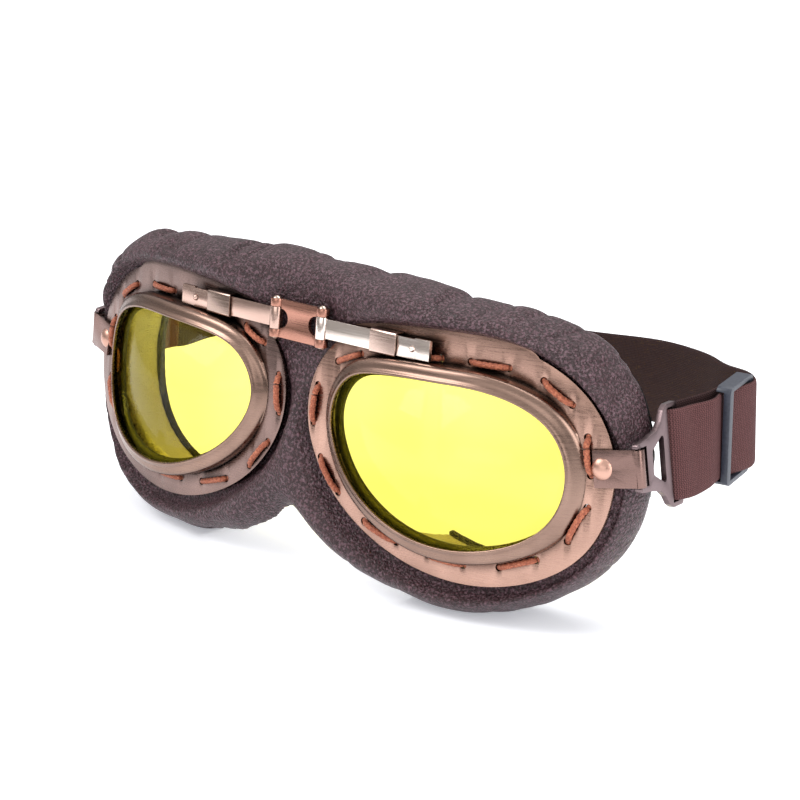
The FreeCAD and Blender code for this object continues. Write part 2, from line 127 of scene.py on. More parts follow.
# Strap, standing on edge: stations along its run
STRAP_HALF = 10.3
STRAP_THICK = 1.2
STRAP_SAMPLES = 700
SIDE_RUN = 40  # samples between an eyepiece's piece of strap and the rear run
STRAP_LEAVES = (-0.09801, 0.99511, -0.0123)  # from the right buckle
RIB_PITCH, WARP_PITCH = 0.5, 0.42
# The shift also marks the webbing's back, which is darkened as painted shade.
BACK_SHIFT = 6 * STRAP_HALF  # how far the webbing's UV is shifted on its back
STRAP_REAR = [
    (78.4, 63.0, -12.0), (70.0, 68.6, -12.0), (60.0, 74.0, -12.3), (48.0, 78.8, -13.0), (28.0, 82.6, -15.0),
]
STRAP_BACK = (0.0, 84.0, -16.5)
STRAP_LEFT = [(87.6, 54.0, -13.6), (89.8, 46.0, -15.6)]
SEWN_LOOP = [
    (27.0, 1.0), (22.5, 0.8), (18.5, -0.9), (15.4, -2.1), (13.1, 0.0), (15.2, 2.15), (18.5, 2.7),
    (23.0, 2.7),
]


def place(x, y, z):
    """From the front's own frame, in millimetres, to the CAD's, in metres."""
    return MIDDLE + (Vector((x, 0, 0)) + BACK * y + UP * z) * 0.001


def unplace(point):
    """The reverse of place()."""
    offset = (point - MIDDLE) * 1000
    return offset.x, offset.dot(BACK), offset.dot(UP)


def flange_y(x, depth=0.0):
    """The flange's front surface, or the one that lies depth behind it."""
    return FLANGE_NOSE_Y + FLANGE_RADIUS - math.sqrt((FLANGE_RADIUS - depth) ** 2 - x**2)


def bezel_y(x):
    """The bezel's front surface."""
    return BEZEL_CREST_Y + BEZEL_RADIUS - math.sqrt(BEZEL_RADIUS**2 - (x - BEZEL_CREST_X) ** 2)


def closed_curve(points, count):
    """Evenly spaced points on a smooth closed line through the given ones."""
    given = np.array(points, float)
    size = len(given)
    run = np.linalg.norm(np.roll(given, -1, 0) - given, axis=1)
    rows = np.zeros((size, size))
    for i in range(size):
        rows[i, i - 1] += run[i - 1]
        rows[i, i] += 2 * (run[i - 1] + run[i])
        rows[i, (i + 1) % size] += run[i]
    slope = (np.roll(given, -1, 0) - given) / run[:, None]
    bend = np.linalg.solve(rows, 6 * (slope - np.roll(slope, 1, 0)))
    dense = []
    for i in range(size):
        j = (i + 1) % size
        t = np.linspace(0, run[i], 60, endpoint=False)[:, None]
        left = run[i] - t
        curve = (bend[i] * left**3 + bend[j] * t**3) / (6 * run[i])
        curve += (given[i] / run[i] - bend[i] * run[i] / 6) * left
        curve += (given[j] / run[i] - bend[j] * run[i] / 6) * t
        dense.append(curve)
    return evenly(np.vstack(dense + [dense[0][:1]]), count + 1)[:-1]


def evenly(points, count):
    """An open line's points, spaced evenly."""
    length = np.concatenate([[0], np.cumsum(np.linalg.norm(np.diff(points, axis=0), axis=1))])
    at = np.linspace(0, length[-1], count)
    return np.stack([np.interp(at, length, points[:, k]) for k in range(points.shape[1])], 1)


def outward(line):
    """Unit normals of an anticlockwise closed line."""
    along = np.roll(line, -1, 0) - np.roll(line, 1, 0)
    along /= np.linalg.norm(along, axis=1)[:, None]
    return np.stack([along[:, 1], -along[:, 0]], 1)


def open_spline(points, count):
    """Evenly spaced samples of a smooth open line through 3-D points."""
    given = np.array(points, float)
    size = len(given)
    run = np.linalg.norm(np.diff(given, axis=0), axis=1)
    rows = np.zeros((size, size))
    right = np.zeros_like(given)
    rows[0, 0] = rows[-1, -1] = 1
    slope = np.diff(given, axis=0) / run[:, None]
    for i in range(1, size - 1):
        rows[i, i - 1 : i + 2] = run[i - 1], 2 * (run[i - 1] + run[i]), run[i]
        right[i] = 6 * (slope[i] - slope[i - 1])
    bend = np.linalg.solve(rows, right)
    knots = np.concatenate([[0], np.cumsum(run)])
    made = []
    for at in np.linspace(0, knots[-1], count):
        i = min(np.searchsorted(knots, at, side="right") - 1, size - 2)
        t, left = at - knots[i], knots[i + 1] - at
        value = (bend[i] * left**3 + bend[i + 1] * t**3) / (6 * run[i])
        value += (given[i] / run[i] - bend[i] * run[i] / 6) * left
        value += (given[i + 1] / run[i] - bend[i + 1] * run[i] / 6) * t
        made.append(value)
    return np.array(made)


# ---------------------------------------------------------------- materials


def node(tree, kind, inputs=None, **settings):
    """A shader node with its settings, each input either linked or set."""
    made = tree.nodes.new(kind)
    for name, value in settings.items():
        setattr(made, name, value)
    for name, value in (inputs or {}).items():
        if isinstance(value, bpy.types.NodeSocket):
            tree.links.new(value, made.inputs[name])
        else:
            made.inputs[name].default_value = value
    return made


def principled(name, **sockets):
    """A material with its Principled shader's constant sockets set."""
    material = bpy.data.materials.new(name)
    material.use_nodes = True
    shader = material.node_tree.nodes["Principled BSDF"]
    for socket, value in sockets.items():
        shader.inputs[socket.replace("_", " ")].default_value = value
    return material, material.node_tree, shader


def coordinates(tree, scale=(1, 1, 1)):
    base = node(tree, "ShaderNodeTexCoord").outputs["Object"]
    return node(tree, "ShaderNodeMapping", {"Vector": base, "Scale": scale}).outputs["Vector"]


def noise_map(tree, vector, scale, detail=4.0, roughness=0.55):
    inputs = {"Vector": vector, "Scale": scale, "Detail": detail, "Roughness": roughness}
    return node(tree, "ShaderNodeTexNoise", inputs).outputs["Fac"]


def ramp(tree, value, *stops):
    """A colour ramp through (position, colour or grey) stops."""
    made = node(tree, "ShaderNodeValToRGB", {"Fac": value})
    elements = made.color_ramp.elements
    while len(elements) < len(stops):
        elements.new(0.5)
    for element, (at, colour) in zip(elements, stops):
        element.position = at
        element.color = (*colour, 1) if isinstance(colour, tuple) else (colour, colour, colour, 1)
    return made.outputs["Color"]


def maths(tree, operation, one, two=0.0):
    made = node(tree, "ShaderNodeMath", operation=operation)
    for socket, value in zip(made.inputs, (one, two)):
        if isinstance(value, bpy.types.NodeSocket):
            tree.links.new(value, socket)
        else:
            socket.default_value = value
    return made.outputs[0]


def mixed(tree, factor, one, two):
    made = node(tree, "ShaderNodeMix", data_type="RGBA")
    for socket, value in ((made.inputs[0], factor), (made.inputs[6], one), (made.inputs[7], two)):
        if isinstance(value, bpy.types.NodeSocket):
            tree.links.new(value, socket)
        else:
            socket.default_value = value if isinstance(value, float) else (*value, 1)
    return made.outputs[2]


def bump(tree, shader, height, distance, strength=1.0):
    made = node(tree, "ShaderNodeBump", {"Height": height, "Distance": distance, "Strength": strength})
    tree.links.new(made.outputs["Normal"], shader.inputs["Normal"])


def antique_metal(name, dark, light, low=0.22, high=0.34, lines=(60, 700, 3200), patina=0.5, shade_reach=0.0022):
    """Brushed copper alloy: dark patina in clouds, brighter where it is worn, and painted shade in the corners and
    between parts, where ambient occlusion finds nearby surfaces.
    """
    material, tree, shader = principled(name, Metallic=1.0)
    brush = noise_map(tree, coordinates(tree, lines), 1.0, 4.0, 0.6)
    cloud = noise_map(tree, coordinates(tree), 48.0, 3.0, 0.5)
    streak = ramp(tree, brush, (0.32, 0.0), (0.68, 1.0))
    wear = ramp(tree, cloud, (0.3, 1.0 - patina), (0.62, 1.0))
    # Painted shade: where ambient occlusion finds nearby surfaces within the reach, the colour darkens towards a
    # fifth of the dark tone.
    corner = node(tree, "ShaderNodeAmbientOcclusion", {"Distance": shade_reach}, samples=8).outputs["AO"]
    share = maths(tree, "ADD", maths(tree, "MULTIPLY", streak, 0.2), 0.8)
    share = maths(tree, "MULTIPLY", share, wear)
    tone = mixed(tree, share, dark, light)
    painted_shade_tone = tuple(0.22 * value for value in dark)
    tone = mixed(tree, ramp(tree, corner, (0.3, 0.0), (0.85, 1.0)), painted_shade_tone, tone)
    tree.links.new(tone, shader.inputs["Base Color"])
    spread = {"Value": brush, "From Min": 0.3, "From Max": 0.7, "To Min": low, "To Max": high}
    rough = node(tree, "ShaderNodeMapRange", spread).outputs[0]
    tree.links.new(rough, shader.inputs["Roughness"])
    bump(tree, shader, brush, 0.00001, 0.4)
    return material


def leather():
    """Dark pebbled artificial leather with painted shade in the furrows between pebbles and painted highlights as
    bright specks; made paler as painted light on the walls of the eye holes, which a vertex attribute marks.
    """
    material, tree, shader = principled("mask_leather_pebbled", Specular_IOR_Level=0.38)
    where = coordinates(tree)
    warp = node(tree, "ShaderNodeTexNoise", {"Vector": where, "Scale": 900.0, "Detail": 2.0})
    scaled = {0: warp.outputs["Color"], "Scale": 0.0012}
    bent = node(tree, "ShaderNodeVectorMath", scaled, operation="SCALE").outputs[0]
    vector = node(tree, "ShaderNodeVectorMath", {0: where, 1: bent}, operation="ADD").outputs[0]
    spaced = {"Vector": vector, "Scale": 1050.0}
    cells = node(tree, "ShaderNodeTexVoronoi", spaced, feature="DISTANCE_TO_EDGE").outputs["Distance"]
    pebble = ramp(tree, cells, (0.0, 0.0), (0.4, 1.0))
    fine = noise_map(tree, where, 2600.0, 3.0)
    broad = noise_map(tree, where, 60.0, 5.0, 0.6)
    height = maths(tree, "ADD", maths(tree, "MULTIPLY", pebble, 0.75), maths(tree, "MULTIPLY", fine, 0.25))
    tone = ramp(tree, broad, (0.35, (0.05, 0.021, 0.025)), (0.65, (0.08, 0.036, 0.042)))
    # Painted shade: the furrows between the pebbles are darkened towards near black.
    furrow_shade = maths(tree, "MULTIPLY", maths(tree, "SUBTRACT", 1.0, pebble), 0.85)
    tone = mixed(tree, furrow_shade, tone, (0.012, 0.004, 0.005))
    # Painted highlights: bright purple-grey specks from a fine noise.
    painted_glint = ramp(tree, noise_map(tree, where, 1500.0, 2.0), (0.5, 0.0), (0.62, 0.55))
    tone = mixed(tree, painted_glint, tone, (0.2, 0.11, 0.135))
    # Painted light: the walls of the eye holes, marked by a vertex attribute, are made much paler to lift their
    # shade.
    inner = node(tree, "ShaderNodeAttribute", attribute_name="inner").outputs["Fac"]
    tone = mixed(tree, inner, tone, (0.5, 0.45, 0.4))
    tree.links.new(tone, shader.inputs["Base Color"])
    rough = maths(tree, "ADD", 0.27, maths(tree, "MULTIPLY", fine, 0.25))
    tree.links.new(rough, shader.inputs["Roughness"])
    bump(tree, shader, height, 0.0004, 0.9)
    return material


def lining_cloth():
    """Soft knit behind the mask."""
    material, tree, shader = principled("lining_knit", Roughness=0.95, Specular_IOR_Level=0.15)
    where = coordinates(tree)
    knit = node(tree, "ShaderNodeTexVoronoi", {"Vector": where, "Scale": 900.0}).outputs["Distance"]
    tone = ramp(tree, knit, (0.0, (0.035, 0.03, 0.03)), (0.8, (0.01, 0.009, 0.009)))
    tree.links.new(tone, shader.inputs["Base Color"])
    bump(tree, shader, knit, 0.0003, 0.6)
    return material


def webbing(light, dark):
    """Woven elastic: fine ribs across, warp threads along, and a back made darker as painted shade. UV is in
    millimetres.
    """
    material, tree, shader = principled("strap_webbing", Roughness=0.85, Specular_IOR_Level=0.25)
    split = node(tree, "ShaderNodeSeparateXYZ", {0: node(tree, "ShaderNodeTexCoord").outputs["UV"]})
    along, across = split.outputs[0], split.outputs[1]
    shift = maths(tree, "MULTIPLY", maths(tree, "PINGPONG", across, WARP_PITCH), 0.5)
    ribs = maths(tree, "MULTIPLY", maths(tree, "ADD", along, shift), 2 * math.pi / RIB_PITCH)
    rib = maths(tree, "SINE", ribs)
    warp = maths(tree, "SINE", maths(tree, "MULTIPLY", across, 2 * math.pi / WARP_PITCH))
    weave = maths(tree, "ADD", maths(tree, "MULTIPLY", rib, 0.3), maths(tree, "MULTIPLY", warp, 0.2))
    weave = maths(tree, "ADD", weave, 0.5)
    fuzz = noise_map(tree, coordinates(tree), 1500.0, 4.0, 0.7)
    share = maths(tree, "MULTIPLY", weave, maths(tree, "ADD", fuzz, 0.45))
    face = mixed(tree, share, dark, light)
    # Painted shade: the back of the webbing is a copy at three tenths of the brightness.
    painted_back_shade = mixed(tree, share, tuple(0.3 * v for v in dark), tuple(0.3 * v for v in light))
    shade_on_back = maths(tree, "GREATER_THAN", across, BACK_SHIFT * 2 / 3)
    tree.links.new(mixed(tree, shade_on_back, face, painted_back_shade), shader.inputs["Base Color"])
    bump(tree, shader, maths(tree, "ADD", weave, maths(tree, "MULTIPLY", fuzz, 0.4)), 0.00022, 0.8)
    return material


def cord_fibre():
    """Twisted lacing cord with fine fibres."""
    material, tree, shader = principled("lace_cord_fibre", Roughness=0.6, Sheen_Weight=0.1)
    fuzz = noise_map(tree, coordinates(tree), 2200.0, 5.0, 0.75)
    stops = [(0.3, (0.1, 0.02, 0.01)), (0.5, (0.36, 0.09, 0.04)), (0.72, (0.66, 0.25, 0.13))]
    tone = ramp(tree, fuzz, *stops)
    tree.links.new(tone, shader.inputs["Base Color"])
    bump(tree, shader, fuzz, 0.0001, 0.7)
    return material


def yellow_lens():
    """Clear yellow sheet that doesn't bend the view and lets tinted light through, with soft darker orange patches
    painted in as shade.
    """
    material, tree, shader = principled(
        "lens_clear_yellow", Base_Color=(1.0, 0.93, 0.22, 1), Transmission_Weight=1.0, IOR=1.0,
        Coat_Weight=0.2,
    )
    # Painted shade: a broad noise darkens the yellow towards orange in soft patches; the same noise varies the
    # roughness a little.
    shade_patch_noise = noise_map(tree, coordinates(tree), 22.0, 1.5)
    tint = ramp(tree, shade_patch_noise, (0.36, (1.0, 0.92, 0.19)), (0.6, (0.88, 0.77, 0.14)))
    tree.links.new(tint, shader.inputs["Base Color"])
    tree.links.new(maths(tree, "MULTIPLY", shade_patch_noise, 0.03), shader.inputs["Roughness"])
    clear = node(tree, "ShaderNodeBsdfTransparent", {"Color": (1.0, 0.96, 0.5, 1)})
    shadow = node(tree, "ShaderNodeLightPath").outputs["Is Shadow Ray"]
    mix = node(tree, "ShaderNodeMixShader", {0: shadow, 1: shader.outputs[0], 2: clear.outputs[0]})
    tree.links.new(mix.outputs[0], tree.nodes["Material Output"].inputs["Surface"])
    return material


def moulded(name, dark, light, roughness):
    """Moulded plastic or rubber with a fine speckle."""
    material, tree, shader = principled(name, Roughness=roughness)
    speck = noise_map(tree, coordinates(tree), 1400.0, 4.0)
    tree.links.new(ramp(tree, speck, (0.35, dark), (0.65, light)), shader.inputs["Base Color"])
    bump(tree, shader, speck, 0.00004, 0.4)
    return material


# By kind of piece, or by the name of a piece that differs from its kind
LOOKS = {
    "flange": antique_metal("plate_copper", (0.11, 0.062, 0.046), (0.54, 0.33, 0.26), shade_reach=0.005),
    # Painted shade: the left plate is a darker copy of the plate metal, for the darker reflections it shows.
    "flange_left": antique_metal("plate_painted_shade", (0.08, 0.052, 0.047), (0.3, 0.2, 0.175), shade_reach=0.005),
    "rim": antique_metal("rim_copper", (0.1, 0.06, 0.045), (0.33, 0.215, 0.17), lines=(60, 300, 2600)),
    "bridge_link": antique_metal("link_copper", (0.2, 0.08, 0.055), (0.55, 0.27, 0.2), patina=0.3),
    "bridge_arm": antique_metal("arm_copper", (0.26, 0.14, 0.1), (0.72, 0.5, 0.42), 0.18, 0.28, patina=0.3),
    # Painted highlight: the right arm is a near-white copy of the arm metal, standing in for a bright reflection.
    "bridge_arm_right": antique_metal(
        "arm_painted_highlight", (0.6, 0.42, 0.34), (1.0, 0.88, 0.8), 0.14, 0.24, patina=0.15,
    ),
    "box_clip": antique_metal("clip_copper", (0.12, 0.08, 0.06), (0.52, 0.38, 0.32), 0.14, 0.26),
    # Painted light: the right clip is a lighter copy of the clip metal.
    "box_clip_right": antique_metal(
        "clip_painted_light", (0.3, 0.2, 0.16), (0.78, 0.58, 0.5), 0.18, 0.3, patina=0.4,
    ),
    "hinge_pin": antique_metal("pin_bright", (0.2, 0.14, 0.11), (0.75, 0.6, 0.5), 0.12, 0.2),
    "bracket_rivet": antique_metal(
        "rivet_bright", (0.3, 0.16, 0.12), (0.62, 0.37, 0.29), 0.3, 0.42, patina=0.3,
    ),
    "strap_bracket": antique_metal("bracket_copper", (0.1, 0.06, 0.05), (0.25, 0.155, 0.135), patina=0.3),
    "strap_buckle": antique_metal(
        "buckle_grey_copper", (0.09, 0.07, 0.07), (0.235, 0.17, 0.175), 0.26, 0.4, patina=0.3,
    ),
    "lens_seal": moulded("seal_rubber", (0.008, 0.008, 0.007), (0.02, 0.018, 0.016), 0.6),
    "strap_adjuster": moulded("adjuster_blue_grey", (0.022, 0.026, 0.04), (0.035, 0.04, 0.058), 0.38),
    "lens": yellow_lens(),
}
LEATHER = leather()
LINING = lining_cloth()
WEBBING = webbing((0.17, 0.07, 0.07), (0.04, 0.016, 0.016))
CORD = cord_fibre()


# ---------------------------------------------------------------- meshes


def add_object(name, mesh, material):
    """A mesh in the scene, with its one material and slot."""
    made = bpy.data.objects.new(name, mesh)
    bpy.context.scene.collection.objects.link(made)
    made.data.materials.clear()
    made.data.materials.append(material)
    return made


def smooth_mesh(name, verts, faces):
    mesh = bpy.data.meshes.new(name)
    mesh.from_pydata([tuple(v) for v in verts], [], faces)
    mesh.update()
    mesh.polygons.foreach_set("use_smooth", [True] * len(mesh.polygons))
    return mesh


def lofted(rings, closed_run=False):
    """Vertices and faces through rings of equal size, capped at the ends unless the run is closed."""
    size = len(rings[0])
    verts = [point for ring in rings for point in ring]
    faces = []
    runs = len(rings) if closed_run else len(rings) - 1
    for i in range(runs):
        one, two = i * size, (i + 1) % len(rings) * size
        for k in range(size):
            j = (k + 1) % size
            faces.append((one + k, one + j, two + j, two + k))
    if not closed_run:
        faces.append(tuple(range(size))[::-1])
        faces.append(tuple((len(rings) - 1) * size + k for k in range(size)))
    return verts, faces


def shifted(faces, count):
    """The faces of a part that joins count vertices already there."""
    return [tuple(index + count for index in face) for face in faces]


def body_of(cad_node):
    bodies = frame["record"]["behaviour"]["bodies"]
    return next(body for body, nodes in bodies.items() if cad_node in nodes)


def spread_head(work):
    """Hammers a rivet's head out wider."""
    middle = sum((v.co for v in work.verts), Vector()) / len(work.verts)
    facing = Vector(HEAD_FACING).normalized()
    facing.x = math.copysign(facing.x, middle.x)
    front = max((v.co - middle).dot(facing) for v in work.verts)
    for vertex in work.verts:
        offset = vertex.co - middle
        along = facing * offset.dot(facing)
        if offset.dot(facing) > front - HEAD_DEPTH:
            vertex.co = middle + along + (offset - along) * HEAD_SPREAD


def finish_piece(cad_node, kind, edge):
    """The CAD piece itself, shaded smooth, with its sharp edges broken by edge millimetres."""
    work = bmesh.new()
    work.from_mesh(frame["nodes"][cad_node].data)
    bmesh.ops.remove_doubles(work, verts=work.verts, dist=1e-6)
    if edge:
        limit = math.radians(32)
        sharp = [e for e in work.edges if len(e.link_faces) == 2 and e.calc_face_angle(0.0) > limit]
        bmesh.ops.bevel(
            work, geom=sharp, offset=edge * 0.001, segments=2, profile=0.6, affect="EDGES",
            clamp_overlap=True,
        )
    if kind == "bracket_rivet":
        spread_head(work)
    mesh = bpy.data.meshes.new(cad_node + "_piece")
    work.to_mesh(mesh)
    work.free()
    mesh.polygons.foreach_set("use_smooth", [True] * len(mesh.polygons))
    mesh.set_sharp_from_angle(angle=math.radians(50))
    made = add_object(cad_node + "_piece", mesh, LOOKS.get(cad_node, LOOKS[kind]))
    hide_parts(cad_node)
    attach(made, body_of(cad_node))


def build_rim(side):
    """The bezel, swept round the opening: wall, rounded shoulder, sloping face and polished lip."""
    line = closed_curve(OPENING, 300)
    normal = outward(line)
    rings = []
    for (x, z), (nx, nz) in zip(line, normal):
        ring = []
        for grow, depth in RIM_PROFILE:
            px, pz = x + nx * grow, z + nz * grow
            top = bezel_y(px)
            base = flange_y(px)
            y = base if depth is None else min(top + depth, base - 0.05)
            ring.append(place(px * SIDES[side], y, pz))
        rings.append(ring)
    verts, faces = lofted(rings, closed_run=True)
    if side == "left":
        faces = [face[::-1] for face in faces]
    mesh = smooth_mesh("rim", verts, faces)
    made = add_object("rim_" + side + "_swept", mesh, LOOKS["rim"])
    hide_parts("rim_" + side)
    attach(made, "ocular_" + side)


def cord_run(points, twist_start):
    """A three-strand twisted cord along a line of points."""
    rings = []
    travelled = 0.0
    for i, here in enumerate(points):
        along = (points[min(i + 1, len(points) - 1)] - points[max(i - 1, 0)]).normalized()
        aside = along.cross(UP)
        aside = (aside if aside.length > 0.2 else along.cross(BACK)).normalized()
        other = along.cross(aside)
        travelled += (here - points[i - 1]).length if i else 0.0
        turn = twist_start + travelled * 1000 * 2 * math.pi / CORD_TWIST
        ring = []
        for k in range(18):
            angle = 2 * math.pi * k / 18
            lobe = CORD_RADIUS * (0.8 + 0.22 * abs(math.cos(1.5 * (angle - turn))))
            ring.append(here + (aside * math.cos(angle) + other * math.sin(angle)) * lobe * 0.001)
        rings.append(ring)
    return lofted(rings)


def build_lacing(side):
    """One cord over and under the plate, a stitch at a time."""
    verts, faces = [], []
    sign = SIDES[side]
    for i, (ax, az) in enumerate(LACE_HOLES):
        bx, bz = LACE_HOLES[(i + 1) % len(LACE_HOLES)]
        over = i % 2 == 0
        short = STITCH_SHORT / math.hypot(bx - ax, bz - az) if over else 0.0
        line = []
        for k in range(25):
            t = short + (1 - 2 * short) * k / 24
            x, z = ax + (bx - ax) * t, az + (bz - az) * t
            rise = min(1.0, 1.12 * max(0.0, math.sin(math.pi * k / 24)) ** 0.42)
            lift = CORD_RADIUS + 0.1
            near = flange_y(x, FLANGE_THICK / 2)
            far = flange_y(x) - lift if over else flange_y(x, FLANGE_THICK) + lift
            line.append(place(x * sign, near + (far - near) * rise, z))
        some, more = cord_run(line, i * 1.3)
        faces += shifted(more, len(verts))
        verts += some
    made = add_object("lacing_" + side + "_cord", smooth_mesh("lacing", verts, faces), CORD)
    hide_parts("lacing_" + side)
    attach(made, "ocular_" + side)


# ---------------------------------------------------------------- mask


def outline_lookup(line):
    """Finds a closed line's nearest point: signed distance outwards, place along it and normal there."""
    normal = outward(line)
    tree = kdtree.KDTree(len(line))
    for i, (x, z) in enumerate(line):
        tree.insert((x, z, 0), i)
    tree.balance()

    def find(x, z):
        near, index, _ = tree.find((x, z, 0))
        away = (x - near.x) * normal[index][0] + (z - near.y) * normal[index][1]
        return away, index / len(line), normal[index]

    return find


def mask_edge():
    """The lookup of the mask's outline."""
    half = MASK_HALF_OUTLINE
    return outline_lookup(closed_curve(half[::-1][:-1] + [(-x, z) for x, z in half][:-1], 1200))


def groove_floors():
    """A band under each lacing groove, so that the thin leather there stays whole when made even."""
    verts, faces = [], []
    for sign in SIDES.values():
        line = closed_curve(LACE_HOLES, 160)
        rings = []
        for (x, z), (nx, nz) in zip(line, outward(line)):
            ring = []
            for grow, depth in GROOVE_FLOOR:
                across = x + nx * grow
                ring.append(place(across * sign, flange_y(across, depth), z + nz * grow))
            rings.append(ring)
        some, more = lofted(rings, closed_run=True)
        more = more if sign > 0 else [face[::-1] for face in more]
        faces += shifted(more, len(verts))
        verts += some
    return verts, faces


def soft_start(cad_node, voxel, smoothing, added=((), ())):
    """The CAD's soft solid, joined by added vertices and faces, as an even quad mesh."""
    work = bmesh.new()
    work.from_mesh(frame["nodes"][cad_node].data)
    bmesh.ops.remove_doubles(work, verts=work.verts, dist=1e-6)
    corners = [work.verts.new(point) for point in added[0]]
    for face in added[1]:
        work.faces.new([corners[i] for i in face])
    mesh = bpy.data.meshes.new(cad_node + "_soft")
    work.to_mesh(mesh)
    work.free()
    made = bpy.data.objects.new(cad_node + "_soft", mesh)
    bpy.context.scene.collection.objects.link(made)
    remesh = made.modifiers.new("even", "REMESH")
    remesh.mode = "VOXEL"
    remesh.voxel_size = voxel
    relax = made.modifiers.new("relax", "SMOOTH")
    relax.iterations = smoothing
    graph = bpy.context.evaluated_depsgraph_get()
    final = bpy.data.meshes.new_from_object(made.evaluated_get(graph))
    bpy.data.objects.remove(made)
    return final


def lumps(x, z, along):
    """How far the padded edge swells or draws in, in millimetres."""
    upper = max(0.0, min(1.0, (z + 25) / 12))
    swell = 2.5 * math.exp(-(((x + 68) / 17) ** 2)) * upper
    swell += 1.3 * math.exp(-(((x + 25) / 22) ** 2)) * upper
    swell += 0.5 * noise.noise(Vector((along * 60, 3.1, 0)))
    return swell


def flare(grown, x, y, z):
    """How far the padding stands back from the eye, the deeper the more, in millimetres."""
    depth = y - flange_y(x)
    deep = max(0.0, min(1.0, (depth - 5.0) / 10.0))
    temple = max(0.0, min(1.0, (math.hypot(x, z + 20) - 24) / 16))
    return 2.2 * deep * deep * (3 - 2 * deep) * max(0.0, min(1.0, 1 - (grown - 3.3) / 7.0)) * temple


def shape_mask(mesh):
    """Crowns the leather round the plates and gathers it towards its edge."""
    edge = mask_edge()
    plate = outline_lookup(closed_curve(OPENING, 600))
    normals = [v.normal.copy() for v in mesh.vertices]
    moved, inner = [], []
    for vertex, normal in zip(mesh.vertices, normals):
        x, y, z = unplace(vertex.co)
        out, along, _ = edge(x, z)
        grown, _, away = plate(abs(x), z)
        beyond = max(0.0, grown - FLANGE_GROW - 0.6)
        share = beyond / (beyond + max(0.0, -out) + 1e-6)
        front = max(0.0, min(1.0, (flange_y(x, FLANGE_THICK) + 11.0 - y) / 11.0))
        crown = 2.6 * math.sin(math.pi * min(1.0, share * 0.9 + 0.05)) ** 0.7 * min(1.0, beyond / 2.0)
        ridge = abs(noise.noise(Vector((along * 42, share * 0.7, 7.7))))
        gather = (0.3 - 1.15 * math.exp(-ridge / 0.08)) * max(0.0, min(1.0, (share - 0.3) * 2.2))
        gather *= 0.15 + 0.85 * max(0.0, min(1.0, (z + 14) / 12)) * max(0.25, min(1.0, (50 - x) / 30))
        clear = max(0.0, min(1.0, math.hypot(x / 14.0, (z + 2.0) / 13.0) - 0.75) / 0.5)
        broad = 0.5 * noise.noise(Vector((x / 16, y / 14, z / 16)))
        aside = Vector((away[0] * math.copysign(1, x), 0, 0)) + UP * away[1]
        offset = aside * flare(grown, x, y, z) - BACK * crown * front * clear
        if beyond > 0:
            offset += normal * (gather + broad * min(1.0, beyond / 3.0)) * clear
            upward = Vector((normal.x * 0.15, 0, 0)) + UP * normal.dot(UP)
            offset += upward * lumps(x, z, along) * share
        moved.append(vertex.co + offset * 0.001)
        # Marks the eye hole's wall, which the leather shader makes paler as painted light.
        inner.append(float(grown < 4.4 and y > flange_y(x, FLANGE_THICK) + 1.5))
    floor = cad_box[0].z
    for vertex, point in zip(mesh.vertices, moved):
        vertex.co = point
        vertex.co.z = max(vertex.co.z, floor)
    mesh.attributes.new("inner", "FLOAT", "POINT").data.foreach_set("value", inner)
    mesh.update()


def shape_lining(mesh):
    """Presses the lining onto the mask's rounded back."""
    edge = mask_edge()
    for vertex in mesh.vertices:
        x, y, z = unplace(vertex.co)
        rounding = max(0.0, MASK_ROUND + edge(x, z)[0])
        drop = MASK_ROUND - math.sqrt(MASK_ROUND**2 - min(rounding, MASK_ROUND) ** 2)
        behind = y - flange_y(x) - LINING_DEPTH
        vertex.co -= BACK * (drop + 0.5 + 0.35 * behind) * 0.001
    mesh.update()


def split_soft(mesh, name, material, cad_node):
    """Splits a soft piece at the nose and beside it, with the shading kept whole.
    """
    work = bmesh.new()
    work.from_mesh(mesh)
    inner = work.verts.layers.float.get("inner")
    for seam in (-NOSE_SEAM * 0.001, 0, NOSE_SEAM * 0.001):
        geometry = list(work.verts) + list(work.edges) + list(work.faces)
        bmesh.ops.bisect_plane(work, geom=geometry, plane_co=(seam, 0, 0), plane_no=(1, 0, 0), dist=1e-7)
    work.normal_update()
    work.verts.index_update()
    work.verts.ensure_lookup_table()
    for side, sign in SIDES.items():
        for nose in (True, False):
            faces = []
            for face in work.faces:
                across = face.calc_center_median().x * sign * 1000
                if across > 0 and (across < NOSE_SEAM) == nose:
                    faces.append(face)
            used = sorted({v.index for f in faces for v in f.verts})
            number = {index: i for i, index in enumerate(used)}
            verts = [work.verts[i].co.copy() for i in used]
            normals = [work.verts[i].normal.copy() for i in used]
            part = smooth_mesh(name, verts, [tuple(number[v.index] for v in f.verts) for f in faces])
            part.normals_split_custom_set_from_vertices(normals)
            if inner:
                values = [work.verts[i][inner] for i in used]
                part.attributes.new("inner", "FLOAT", "POINT").data.foreach_set("value", values)
            made = add_object(f"{name}_nose_{side}" if nose else f"{name}_{side}", part, material)
            if side == "right" and not nose:
                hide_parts(cad_node)
            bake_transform(made)
    work.free()


def build_soft():
    mask = soft_start("leather_mask", *LEATHER_EVEN, groove_floors())
    shape_mask(mask)
    split_soft(mask, "mask_leather", LEATHER, "leather_mask")
    lining = soft_start("face_lining", *LINING_EVEN)
    shape_lining(lining)
    split_soft(lining, "mask_lining", LINING, "face_lining")


# ---------------------------------------------------------------- strap


